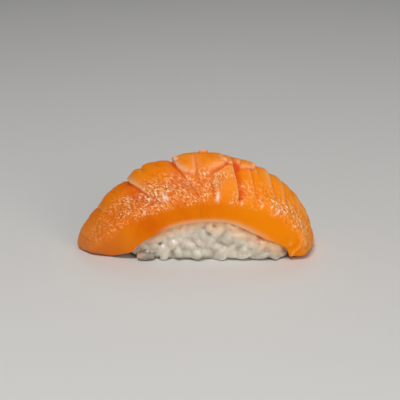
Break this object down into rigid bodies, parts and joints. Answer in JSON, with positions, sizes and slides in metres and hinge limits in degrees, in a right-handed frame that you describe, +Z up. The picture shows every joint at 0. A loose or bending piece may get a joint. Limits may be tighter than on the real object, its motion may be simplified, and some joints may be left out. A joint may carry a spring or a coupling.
{
  "type": "salmon nigiri",
  "caption": "Hand-pressed bed of sushi rice under a bent, knife-scored slice of raw salmon that reaches down to the table at both ends.",
  "frame": {"origin": "middle of the footprint at table level, under the middle of the piece", "axes": "+Z up from the table, +X along the length towards the blunt end of the slice, -Y towards the side that faces the viewer"},
  "size_m": [0.0743, 0.0272, 0.0312],
  "materials": {
    "salmon": "moist raw flesh, glossy, slightly translucent",
    "rice": "cooked white rice, slightly sticky, translucent"
  },
  "bodies": {
    "root": {"salmon": "salmon", "rice": "rice"}
  },
  "joints": []
}
